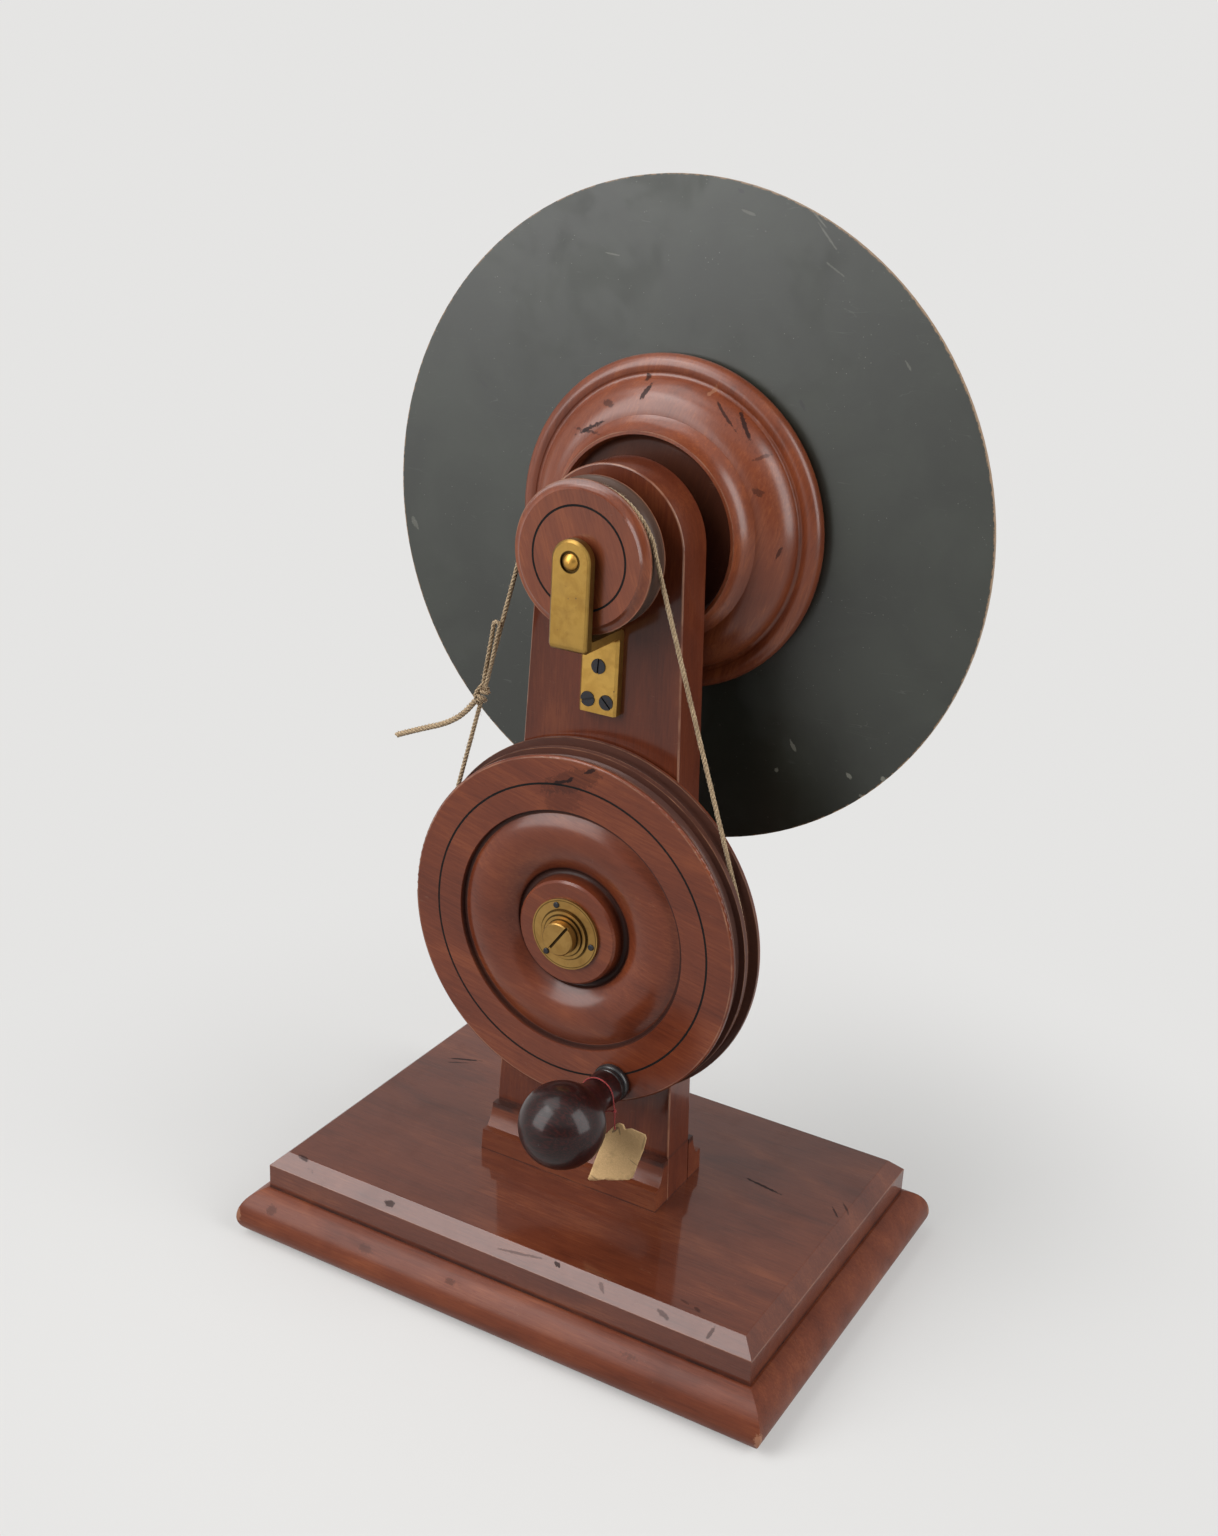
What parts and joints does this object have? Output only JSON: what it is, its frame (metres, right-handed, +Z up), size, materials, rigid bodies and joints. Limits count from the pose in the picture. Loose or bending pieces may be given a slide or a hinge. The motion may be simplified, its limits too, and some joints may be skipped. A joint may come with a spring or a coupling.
{
  "type": "newton color disc with crank",
  "caption": "Hand-cranked Newton color disc: a grooved drive wheel, twine belt and small pulley spin a large sectored disc on a tapered wooden upright with a moulded base.",
  "frame": {"origin": "centre of the base's underside", "axes": "+Z up; +Y towards the disc's coloured face; -Y towards the crank; the disc and the drive wheel turn about lines along Y at X = 0"},
  "size_m": [0.304, 0.2, 0.511],
  "materials": {
    "mahogany": "French-polished mahogany",
    "turned_wood": "turned and French-polished mahogany",
    "dark_steel": "blued steel, dull",
    "steel": "turned steel",
    "brass": "aged lacquered brass with tarnish spots",
    "twine": "hemp twine",
    "red_thread": "red cotton thread",
    "black_inlay": "black stringing",
    "ebony": "polished ebony",
    "rosewood": "polished dark rosewood",
    "tag_paper": "aged buff paper",
    "disc_black": "matt dark paint on board, bare tan edge",
    "paper_red": "painted paper, matt",
    "paper_orange": "painted paper, matt",
    "paper_yellow": "painted paper, matt",
    "paper_green": "painted paper, matt",
    "paper_blue": "painted paper, matt",
    "paper_indigo": "painted paper, matt",
    "paper_violet": "painted paper, matt"
  },
  "bodies": {
    "stand": {"base_lower_slab": "mahogany", "base_upper_slab": "mahogany", "base_slab_screws": "dark_steel", "upright_screws": "dark_steel", "upright": "mahogany", "foot_moulding_front": "mahogany", "foot_moulding_rear": "mahogany", "spindle_bush": "brass", "bearing_bracket": "brass", "bracket_screws": "dark_steel", "pivot_screw": "brass", "wheel_axle": "brass", "thrust_washer": "brass", "drive_cord": "twine", "cord_knot": "twine", "cord_bow": "twine", "cord_tail": "twine"},
    "wheel": {"drive_wheel": "turned_wood", "wheel_inlay_ring": "black_inlay", "wheel_bush": "brass", "bush_screws": "dark_steel", "handle_collar": "ebony"},
    "handle": {"handle_grip": "rosewood", "handle_pin": "steel"},
    "tag": {"paper_tag": "tag_paper", "tag_thread": "red_thread"},
    "disc_spindle": {"spindle": "steel", "pulley_spacer": "brass", "pulley": "turned_wood", "pulley_inlay_ring": "black_inlay", "hub_flange": "turned_wood", "disc_board": "disc_black", "sector_1_red": "paper_red", "sector_2_orange": "paper_orange", "sector_3_yellow": "paper_yellow", "sector_4_green": "paper_green", "sector_5_blue": "paper_blue", "sector_6_indigo": "paper_indigo", "sector_7_violet": "paper_violet", "disc_washer": "brass", "disc_nut": "brass"}
  },
  "joints": [
    {"name": "wheel_spin", "type": "hinge", "parent": "stand", "child": "wheel", "pos_m": [0, -0.0236, 0.1825], "axis": [0, 1, 0], "continuous": true},
    {"name": "spindle_spin", "type": "hinge", "parent": "stand", "child": "disc_spindle", "pos_m": [0, 0, 0.359], "axis": [0, 1, 0], "continuous": true},
    {"name": "handle_spin", "type": "hinge", "parent": "wheel", "child": "handle", "pos_m": [0.02796, -0.04, 0.11399], "axis": [0, 1, 0], "continuous": true},
    {"name": "tag_swing", "type": "hinge", "parent": "wheel", "child": "tag", "pos_m": [0.02796, -0.048, 0.11399], "axis": [0, 1, 0], "continuous": true}
  ],
  "couplings": [
    {"joint": "spindle_spin", "follows": "wheel_spin", "ratio": 2.5975},
    {"joint": "tag_swing", "follows": "wheel_spin", "ratio": -1}
  ]
}
